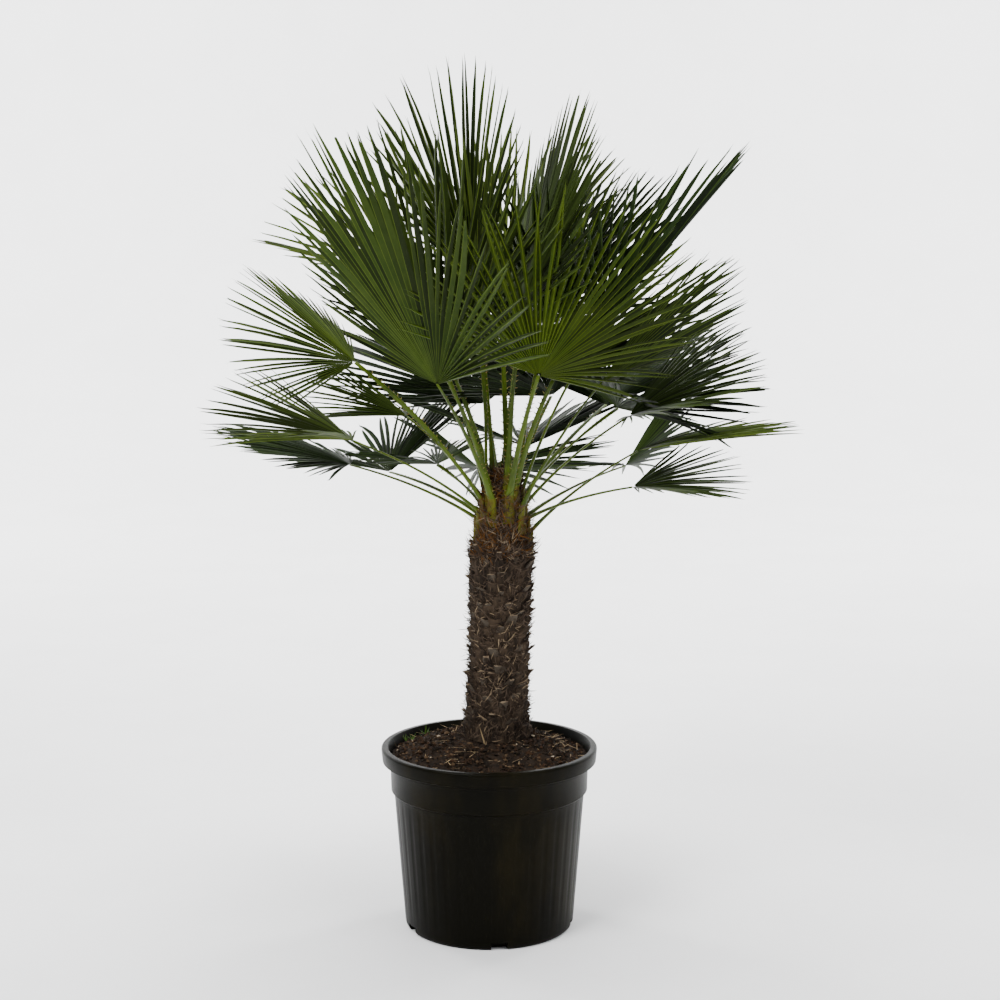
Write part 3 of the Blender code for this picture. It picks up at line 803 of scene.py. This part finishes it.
@dataclass
class Trunk:
    """The trunk: rows of cut leaf bases in a spiral, matted fibre between them, stubs on top."""

    seed: int = 21
    foot_radius: float = 0.059
    waist_radius: float = 0.054
    shoulder_radius: float = 0.06
    flare: float = 0.008
    flare_fade: float = 14.0
    shaft_inset: float = 0.001
    foot_gap: float = 0.0004
    around: int = 200
    up: int = 260
    bases: int = 170
    bases_start: float = 0.01
    base_height: float = 0.032
    base_half_width: float = 0.019
    base_depth: float = 0.0135
    base_depths: Span = (0.45, 1.1)
    base_taper: float = 0.35
    base_swell: float = 0.8
    streak_rows: int = 10
    streak_margin: float = 1.001
    streak_depth: float = 0.0009
    shaft_streak_depth: float = 0.0012
    roughness: float = 0.0004
    lowest_stub: float = 0.01
    stub_places: Span = (0.7, 1.0)
    stub_sunk: float = 0.004
    stub_leans: Span = (0.25, 1.2)
    stub_sway: float = 0.25
    stub_lengths: Span = (0.012, 0.032)
    stub_widths: Span = (0.35, 0.65)
    stub_depths: Span = (0.0022, 0.0042)
    stub_rings: tuple[Span, ...] = ((-0.4, 1.2), (0.35, 1.0), (1.0, 0.8))
    stub_sides: int = 6
    stub_out: float = 0.003
    stub_ragged: float = 0.0012
    fibre_lift: float = 0.006
    fibre_upward: float = 0.8
    fibre_rises: Span = (0.3, 1.0)
    fibre_falls: Span = (-0.8, 0.2)
    fibre_out: float = 0.55
    fibre_shortest: float = 0.012
    fibre_bow: float = 0.18
    fibre_widths: Span = (0.0008, 0.003)
    fibre_clearance: float = 0.002
    skins: tuple[Finish, ...] = (
        Finish(
            "trunk_bark", (0.044, 0.03, 0.019), (0.013, 0.009, 0.006), 0.95, 38.0, 0.4, 0.6,
            grain_scale=700.0, grain_height=0.0012, stretch=5.0,
        ),
        Finish(
            "shaft_fibre", (0.045, 0.02, 0.005), (0.018, 0.009, 0.003), 0.95, 60.0, 0.4, 0.6,
            grain_scale=600.0, grain_height=0.0012, stretch=4.0,
        ),
    )
    stubs: tuple[Finish, ...] = (
        Finish(
            "stub_brown", (0.038, 0.025, 0.016), (0.016, 0.01, 0.006), 0.95, 60.0,
            grain_scale=500.0, grain_height=0.001, stretch=4.0,
        ),
        Finish(
            "stub_grey", (0.066, 0.053, 0.039), (0.03, 0.022, 0.015), 0.95, 60.0,
            grain_scale=500.0, grain_height=0.001, stretch=4.0,
        ),
        Finish("stub_cut", (0.15, 0.115, 0.075), (0.085, 0.058, 0.036), 0.9, 80.0),
    )
    fibres: tuple[Finish, ...] = (
        Finish("fibre_dark", (0.022, 0.014, 0.009), (0.014, 0.009, 0.006), 0.95),
        Finish("fibre_brown", (0.075, 0.053, 0.036), (0.042, 0.029, 0.02), 0.95),
        Finish("fibre_straw", (0.21, 0.155, 0.095), (0.13, 0.09, 0.055), 0.9),
        Finish("fibre_red", (0.1, 0.04, 0.006), (0.055, 0.022, 0.004), 0.95),
    )

    def __post_init__(self) -> None:
        """Starts the source of chance."""
        self.draw = np.random.default_rng(self.seed)

    def radius(self, height: Number) -> Array:
        """Plain radius of the trunk and of the crown shaft.

        Args:
            height: where on the trunk.

        Returns:
            The radius at each height.
        """
        share = (height - TRUNK_FOOT) / (TRUNK_SHOULDER - TRUNK_FOOT)
        low = self.foot_radius + (self.waist_radius - self.foot_radius) * share * 2
        high = self.waist_radius + (self.shoulder_radius - self.waist_radius) * (share - 0.5) * 2
        plain = np.where(share < 0.5, low, high) + self.flare * np.exp(-share * self.flare_fade)
        return np.where(height > TRUNK_SHOULDER, cone_radius(height) - self.shaft_inset, plain)

    def places(self) -> tuple[Array, Array]:
        """Works out where the cut leaf bases are, up a spiral.

        Returns:
            Their angles in radians, and their heights.
        """
        index = np.arange(self.bases)
        rise = (TRUNK_SHOULDER - TRUNK_FOOT) * (index + 0.5) / self.bases
        return index * GOLDEN_TURN, TRUNK_FOOT - self.bases_start + rise

    def skin(self) -> tuple[Array, Array]:
        """Works out the relief of the skin on a grid.

        Returns:
            The heights of the grid's rows, and the radius at each of its points.
        """
        height = np.linspace(TRUNK_FOOT + self.foot_gap, TRUNK_TIP, self.up)
        turn = turns(self.around)
        plain = self.radius(height)[:, None] + 0 * turn
        relief = np.zeros_like(plain)
        depths = self.draw.uniform(*self.base_depths, self.bases)
        for angle, foot, depth in zip(*self.places(), depths):
            off = (turn - angle + np.pi) % (2 * np.pi) - np.pi
            wide = off[None, :] * plain / self.base_half_width
            rise = (height[:, None] - foot) / self.base_height
            inside = (np.abs(wide) < 1.0 - self.base_taper * rise) & (rise > 0) & (rise < 1)
            round_top = np.sqrt(np.maximum(1 - wide**2, 0))
            crest = np.where(inside, rise**self.base_swell * round_top, 0)
            relief = np.maximum(relief, crest * depth * self.base_depth)
        streaks = self.draw.normal(0, 1, (self.up // self.streak_rows + 2, self.around))
        row = np.linspace(0, len(streaks) - self.streak_margin, self.up)
        part = (row % 1)[:, None]
        low = row.astype(int)
        fibre = streaks[low] * (1 - part) + streaks[low + 1] * part
        rough = self.draw.normal(0, self.roughness, relief.shape)
        bark = relief + fibre * self.streak_depth + rough
        on_trunk = (height < TRUNK_SHOULDER)[:, None]
        return height, plain + np.where(on_trunk, bark, fibre * self.shaft_streak_depth)

    def build(self) -> None:
        """Makes the trunk's pieces."""
        height, skin = self.skin()
        grid = round_points(skin, height[:, None])
        grid[..., 0] += trunk_axis(height)[:, None]
        faces = tube_faces(self.up, self.around)
        above = np.repeat(height > TRUNK_SHOULDER, self.around)[: len(faces)]
        pile = Pile()
        pile.add(grid, faces, above.astype(int).tolist())
        piece = pile.piece("trunk_skin", self.skins)
        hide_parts("trunk")
        self.build_stubs()
        for coat in COATS:
            self.build_fibres(coat)

    def build_stubs(self) -> None:
        """Adds the stubs of cut stalks, each with a pale end."""
        draw = self.draw
        pile = Pile()
        turn = turns(self.stub_sides)
        for angle, foot in zip(*self.places()):
            if foot < TRUNK_FOOT + self.lowest_stub:
                continue
            outward = direction(math.degrees(angle))
            side = across(math.degrees(angle))
            top = foot + self.base_height * draw.uniform(*self.stub_places)
            start = off_axis(top, outward, float(self.radius(top)) - self.stub_sunk)
            lean = outward * draw.uniform(*self.stub_leans) + UP
            lean = unit(lean + side * draw.normal(0, self.stub_sway))
            length = draw.uniform(*self.stub_lengths)
            half = self.base_half_width * draw.uniform(*self.stub_widths)
            thick = draw.uniform(*self.stub_depths)
            rings = []
            for share, wide in self.stub_rings:
                middle = start + lean * length * share + outward * self.stub_out
                ragged = draw.normal(0, self.stub_ragged, (self.stub_sides, 3))
                ring = middle + side * (np.cos(turn) * half * wide)[:, None]
                rings.append(ring + outward * (np.sin(turn) * thick)[:, None] + ragged)
            faces = tube_faces(len(rings), self.stub_sides)
            bark = int(draw.integers(0, 2))
            pile.add(np.concatenate(rings), faces, [bark] * (len(faces) - 1) + [2])
        piece = pile.piece("trunk_stubs", self.stubs, False)

    def build_fibres(self, coat: Coat) -> None:
        """Adds loose fibre.

        Args:
            coat: which fibre.
        """
        draw = self.draw
        pile = Pile()
        for _ in range(coat.count):
            height = draw.uniform(*coat.heights)
            azimuth = draw.uniform(0, 360)
            outward = direction(azimuth)
            lift = draw.uniform(0, self.fibre_lift)
            start = off_axis(height, outward, float(self.radius(height)) + lift)
            upward = draw.random() < self.fibre_upward
            rise = draw.uniform(*(self.fibre_rises if upward else self.fibre_falls))
            heading = outward * draw.uniform(0.0, self.fibre_out)
            heading = unit(heading + across(azimuth) * draw.normal(0, coat.sway) + UP * rise)
            length = draw.uniform(self.fibre_shortest, coat.longest)
            bow = outward * length * draw.uniform(0.0, self.fibre_bow)
            width = draw.uniform(*self.fibre_widths)
            end = start + heading * length
            if end[2] > TRUNK_FOOT + self.fibre_clearance:
                tint = int(draw.choice(len(coat.chances), p=coat.chances))
                pile.strip(start, end, unit(np.cross(heading, outward)), width, tint, bow)
        piece = pile.piece(coat.name, self.fibres, False)


@dataclass
class Pot:
    """The nursery pot, turned, with shallow flutes and drain notches in its foot."""

    rim_radius: float = 0.23
    height: float = 0.391
    rim_height: float = 0.032
    collar_radius: float = 0.211
    collar_drop: float = 0.062
    wall_top: float = 0.203
    wall_foot: float = 0.181
    wall_steps: int = 12
    foot_radius: float = 0.173
    foot_round: float = 0.012
    foot_steps: int = 6
    lip_round: float = 0.005
    lip_steps: int = 5
    wall: float = 0.005
    floor: float = 0.0217
    shelf: float = 0.015
    sides: int = 240
    flutes: int = 40
    flute_depth: float = 0.001
    flute_sharpness: float = 3.0
    sharp_angle: float = math.radians(40)
    notches: int = 5
    first_notch: float = 277.0
    notch_width: float = 0.034
    notch_height: float = 0.016
    notch_depth: float = 0.032
    notch_inset: float = 0.006
    plastic: Finish = Finish(
        "pot_plastic", (0.0016, 0.0014, 0.0003), (0.0066, 0.005, 0.001), 0.4, 7.0, 0.44, 0.74,
        grain_scale=900.0, grain_height=0.0003, stretch=3.0, specular=0.045,
    )

    def profile(self) -> Array:
        """Works out the rings of the pot, from its underside up and over the rim to its floor.

        Returns:
            Radius, height and share of the flutes, one row for each ring.
        """
        rim_foot = self.height - self.rim_height
        collar_foot = rim_foot - self.collar_drop
        rings = [(self.foot_radius - self.foot_round, 0.0, 0.0), (self.foot_radius, 0.0, 0.0)]
        for across_arc, up_arc in quarter(self.foot_steps):
            radius = self.foot_radius + (self.wall_foot - self.foot_radius) * across_arc
            rings.append((radius, self.foot_round * up_arc, 0.0))
        straight = collar_foot - self.wall - self.foot_round
        for step in range(1, self.wall_steps + 1):
            share = step / self.wall_steps
            radius = self.wall_foot + (self.wall_top - self.wall_foot) * share
            flute = min(1.0, 4 * share) * min(1.0, (1 - share) * 8 + 0.2)
            rings.append((radius, self.foot_round + straight * share, flute))
        # A radius and how far out from it, a height and how far up from it
        outside = (
            (self.wall_top, 0.0005, collar_foot, -0.003),
            (self.collar_radius, -0.0035, collar_foot, -0.0012),
            (self.collar_radius, -0.0015, collar_foot, 0.001),
            (self.collar_radius, 0.0, rim_foot, -0.003),
            (self.collar_radius, 0.0015, rim_foot, -0.0005),
            (self.rim_radius, -0.005, rim_foot, 0.0),
            (self.rim_radius, -0.0025, rim_foot, 0.0015),
            (self.rim_radius, -0.0018, rim_foot, 0.006),
            (self.rim_radius, 0.0, self.height, -0.006),
        )
        rings += [(radius + out, height + up, 0.0) for radius, out, height, up in outside]
        for up_arc, in_arc in quarter(self.lip_steps):
            height = self.height - self.lip_round + self.lip_round * up_arc
            rings.append((self.rim_radius - self.lip_round * in_arc, height, 0.0))
        inside = (
            (self.rim_radius - self.shelf, 0.002, self.height, 0.0),
            (self.rim_radius - self.shelf, 0.0, self.height, -0.002),
            (self.collar_radius - self.wall, 0.0, rim_foot - self.wall, 0.0),
            (self.wall_foot - self.wall, -0.002, self.floor, 0.0),
        )
        rings += [(radius + out, height + up, 0.0) for radius, out, height, up in inside]
        return np.array(rings)

    def build(self) -> None:
        """Makes the pot and cuts its notches."""
        rings = self.profile()
        wave = np.abs(np.sin(turns(self.sides) * self.flutes / 2)) * self.flute_sharpness
        wave = np.minimum(wave, 1.0) - 1.0
        radius = rings[:, :1] + rings[:, 2:] * wave * self.flute_depth
        pile = Pile()
        pile.add(round_points(radius, rings[:, 1:2]), tube_faces(len(rings), self.sides))
        pot = pile.piece("pot_shell", (self.plastic,))
        pot.data.set_sharp_from_angle(angle=self.sharp_angle)
        for index in range(self.notches):
            self.cut_notch(pot, math.radians(self.first_notch + index * 360.0 / self.notches))
        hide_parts("pot")

    def cut_notch(self, pot: Object, turn: float) -> None:
        """Cuts one drain notch.

        Args:
            pot: the pot.
            turn: where round the foot, in radians.
        """
        bpy.ops.mesh.primitive_cube_add(size=1.0)
        cutter = bpy.context.active_object
        middle = self.wall_foot - self.notch_inset
        cutter.location = (middle * math.cos(turn), middle * math.sin(turn), 0.0)
        cutter.rotation_euler = (0.0, 0.0, turn)
        cutter.scale = (self.notch_depth, self.notch_width, 2 * self.notch_height)
        cut = pot.modifiers.new("notch", "BOOLEAN")
        cut.object = cutter
        bpy.context.view_layer.objects.active = pot
        bpy.ops.object.modifier_apply(modifier=cut.name)
        bpy.data.objects.remove(cutter, do_unlink=True)


@dataclass
class Soil:
    """The pot's fill: a clodded mound with crumbs, straw, a stick and a few sprouts."""

    seed: int = 33
    around: int = 150
    rings: int = 46
    inner_radius: float = 0.02
    edge_radius: float = 0.2085
    flat_radius: float = 0.095
    skirt: float = 0.03
    clod_height: float = 0.0016
    waves: int = 6
    wave_height: float = 0.0009
    wave_rate: float = 60
    trunk_clearance: float = 0.075
    edge_clearance: float = 0.008
    crumbs: int = 3600
    crumb_size: float = 0.0012
    crumb_growth: float = 0.0045
    crumb_rarity: float = 2.2
    crumb_stretch: Span = (0.5, 1.5)
    crumb_flatness: Place = (1.0, 1.0, 0.7)
    crumb_ragged: float = 0.18
    crumb_lift: float = 0.4
    crumb_chances: tuple[float, ...] = (0.46, 0.34, 0.185, 0.015)
    straws: int = 130
    straw_lift: Place = (0.0, 0.0, 0.002)
    heap_every: int = 3
    heap_width: Place = (0.55, 0.45, 1.0)
    heap_place: Place = (0.085, -0.02, 0.006)
    straw_rises: Span = (-0.05, 0.25)
    straw_lengths: Span = (0.012, 0.05)
    straw_widths: Span = (0.0008, 0.002)
    stick_foot: Place = (-0.008, -0.085, SOIL_CENTRE + 0.002)
    stick_reach: Place = (-0.012, -0.012, 0.045)
    stick_width: float = 0.0035
    sprouts: int = 7
    sprout_place: Place = (-0.15, 0.085, SOIL_EDGE + 0.008)
    sprout_spread: float = 0.016
    sprout_blades: int = 6
    sprout_lean: float = 0.6
    sprout_lengths: Span = (0.012, 0.026)
    sprout_width: float = 0.0024
    dark: Finish = Finish(
        "soil_dark", (0.014, 0.008, 0.004), (0.007, 0.004, 0.002), 0.97, 60.0,
        grain_scale=260.0, grain_height=0.003,
    )
    tints: tuple[Finish, ...] = (
        Finish("crumb_dark", (0.011, 0.006, 0.003), (0.006, 0.004, 0.002), 0.97),
        Finish("crumb_red", (0.03, 0.015, 0.007), (0.016, 0.008, 0.004), 0.95),
        Finish("crumb_tan", (0.062, 0.038, 0.02), (0.034, 0.021, 0.011), 0.95),
        Finish("crumb_pale", (0.3, 0.25, 0.18), (0.21, 0.16, 0.11), 0.9),
    )
    litter: tuple[Finish, ...] = (
        Finish("straw_dry", (0.34, 0.25, 0.14), (0.2, 0.14, 0.08), 0.9),
        Finish("sprout_green", (0.045, 0.09, 0.01), (0.03, 0.06, 0.008), 0.6),
    )

    def __post_init__(self) -> None:
        """Starts the source of chance."""
        self.draw = np.random.default_rng(self.seed)

    def top(self, radius: Number) -> Number:
        """Plain height of the mound at a radius."""
        share = np.clip((self.edge_radius - radius) / (self.edge_radius - self.flat_radius), 0, 1)
        return SOIL_EDGE + (SOIL_CENTRE - SOIL_EDGE) * share

    def place(self) -> Array:
        """Draws a point on the mound, outside the trunk.

        Returns:
            The point.
        """
        outer = self.edge_radius - self.edge_clearance
        radius = math.sqrt(self.draw.uniform(self.trunk_clearance**2, outer**2))
        turn = self.draw.uniform(0, 2 * math.pi)
        return np.array((radius * math.cos(turn), radius * math.sin(turn), self.top(radius)))

    def build(self) -> None:
        """Makes the soil's pieces."""
        radius = np.linspace(self.inner_radius, self.edge_radius, self.rings)
        waves = self.draw.normal(0, 1, (self.waves, 4))
        turn = turns(self.around)
        x = radius[:, None] * np.cos(turn)
        y = radius[:, None] * np.sin(turn)
        height = self.top(radius)[:, None] + self.draw.normal(0, self.clod_height, x.shape)
        rate = self.wave_rate
        for along, aside, phase, amount in waves:
            wave = np.sin(x * along * rate + y * aside * rate + phase)
            height += self.wave_height * amount * wave
        top = np.stack((x, y, height), -1)
        foot = np.stack((x[-1], y[-1], np.full(self.around, SOIL_EDGE - self.skirt)), -1)
        pile = Pile()
        points = np.concatenate((top.reshape(-1, 3), foot))
        pile.add(points, tube_faces(self.rings + 1, self.around))
        bed = pile.piece("soil_bed", (self.dark,))
        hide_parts("soil")
        self.build_crumbs()
        self.build_litter()

    def build_crumbs(self) -> None:
        """Strews crumbs of bark and clay."""
        draw = self.draw
        corners = np.repeat(np.eye(3), 2, 0) * np.tile((1, -1), 3)[:, None]
        faces = [(0, 2, 4), (2, 1, 4), (1, 3, 4), (3, 0, 4), (2, 0, 5), (1, 2, 5), (3, 1, 5), (0, 3, 5)]
        chances = self.crumb_chances
        pile = Pile()
        for _ in range(self.crumbs):
            size = self.crumb_size + self.crumb_growth * draw.random() ** self.crumb_rarity
            stretch = draw.uniform(*self.crumb_stretch, 3) * self.crumb_flatness
            shape = corners * size * stretch
            shape = shape + draw.normal(0, size * self.crumb_ragged, corners.shape)
            turn = draw.uniform(0, 2 * math.pi)
            level = math.cos(turn)
            aside = math.sin(turn)
            spin = np.array(((level, -aside, 0), (aside, level, 0), (0, 0, 1)))
            place = self.place() + UP * (size * self.crumb_lift)
            pile.add(shape @ spin.T + place, faces, int(draw.choice(len(chances), p=chances)))
        piece = pile.piece("soil_crumbs", self.tints, False)

    def build_litter(self) -> None:
        """Adds straw, part of it in a heap, a pale stick, and sprouts at the left back."""
        draw = self.draw
        pile = Pile()
        for index in range(self.straws):
            start = self.place() + self.straw_lift
            if index % self.heap_every == 0:
                start = self.place() * self.heap_width + self.heap_place
            heading = unit(np.array((*draw.normal(size=2), draw.uniform(*self.straw_rises))))
            end = start + heading * draw.uniform(*self.straw_lengths)
            width = draw.uniform(*self.straw_widths)
            pile.strip(start, end, unit(np.cross(heading, UP)), width)
        stick = np.array(self.stick_foot)
        for side in np.eye(3)[:2]:
            pile.strip(stick, stick + self.stick_reach, side, self.stick_width)
        for _ in range(self.sprouts):
            off = np.array((draw.normal(), draw.normal(), 0.0))
            foot = self.sprout_place + self.sprout_spread * off
            for _ in range(self.sprout_blades):
                heading = unit(np.array((*draw.normal(0, self.sprout_lean, 2), 1.0)))
                end = foot + heading * draw.uniform(*self.sprout_lengths)
                pile.strip(foot, end, unit(np.cross(heading, UP)), self.sprout_width, 1)
        piece = pile.piece("soil_litter", self.litter, False)


@dataclass(frozen=True)
class Lamp:
    """A soft square light: its place and side in metres, its power in watts, what it faces."""

    name: str
    place: Place
    side: float
    power: float
    target: Place = (0.0, 0.0, 1.0)

    def hang(self) -> None:
        """Adds the light to the scene."""
        data = bpy.data.lights.new(self.name, "AREA")
        data.size = self.side
        data.energy = self.power
        item = bpy.data.objects.new(self.name, data)
        item.location = self.place
        aim = np.array(self.target) - np.array(self.place)
        tilt = math.atan2(math.hypot(aim[0], aim[1]), -aim[2])
        item.rotation_euler = (tilt, 0.0, math.atan2(aim[1], aim[0]) - math.pi / 2)
        bpy.context.scene.collection.objects.link(item)


LAMPS = (
    Lamp("key", (-2.2, -2.6, 4.6), 2.2, 330.0),
    Lamp("fill", (3.4, -2.8, 3.2), 3.0, 110.0),
    Lamp("top", (0.2, 0.9, 4.9), 3.0, 330.0),
    Lamp("backdrop_left", (-4.5, 4.4, 4.6), 3.0, 1000.0, (-1.0, 8.6, 1.2)),
    Lamp("backdrop_right", (4.5, 4.4, 4.6), 3.0, 1000.0, (1.0, 8.6, 1.2)),
)


@dataclass
class Studio:
    """A pale floor that runs up behind, soft lights, and the camera of the photograph."""

    eye: Place = (0.023, -4.0, 1.48)
    pitch: float = 8.0
    lens: float = 69.34
    sensor: float = 36.0
    floor_half: float = 9.0
    back: float = 9.5
    curve: float = 3.5
    curve_steps: int = 12
    wall: float = 9.0
    sky: tuple[float, ...] = (0.95, 0.97, 1.0, 1.0)
    sky_strength: float = 0.6
    pale: Finish = Finish("floor_pale", (0.86, 0.86, 0.86), (0.84, 0.84, 0.84), 0.9, 2.0)

    def build(self) -> None:
        """Makes the backdrop, the lights, the world and the camera."""
        self.build_floor()
        for lamp in LAMPS:
            lamp.hang()
        world = bpy.data.worlds.new("soft_sky")
        world.use_nodes = True
        sky = world.node_tree.nodes["Background"]
        sky.inputs["Color"].default_value = self.sky
        sky.inputs["Strength"].default_value = self.sky_strength
        bpy.context.scene.world = world
        data = bpy.data.cameras.new("photo_view")
        data.lens = self.lens
        data.sensor_width = self.sensor
        camera = bpy.data.objects.new("photo_view", data)
        camera.location = self.eye
        camera.rotation_euler = (math.radians(90.0 - self.pitch), 0.0, 0.0)
        bpy.context.scene.collection.objects.link(camera)
        bpy.context.scene.camera = camera

    def build_floor(self) -> None:
        """Makes the floor and the wall it runs up to."""
        bend = self.back - self.curve
        line = [(-self.floor_half, 0.0), (bend, 0.0)]
        line += [(bend + self.curve * out, self.curve * up) for out, up in quarter(self.curve_steps)]
        line.append((self.back, self.wall))
        points = []
        for y, z in line:
            points += [(-self.floor_half, y, z), (self.floor_half, y, z)]
        faces = [(2 * i, 2 * i + 1, 2 * i + 3, 2 * i + 2) for i in range(len(line) - 1)]
        mesh = bpy.data.meshes.new("pale_floor")
        mesh.from_pydata(points, [], faces)
        mesh.shade_smooth()
        mesh.materials.append(self.pale.material())
        floor = bpy.data.objects.new("pale_floor", mesh)
        bpy.context.scene.collection.objects.link(floor)


def main() -> None:
    """Builds the plant and the studio in order."""
    logging.basicConfig(level=logging.INFO, format="%(name)s: %(message)s")
    for part in (Pot(), Soil(), Trunk(), Crown(), Studio()):
        part.build()


if __name__ == "__main__":
    main()
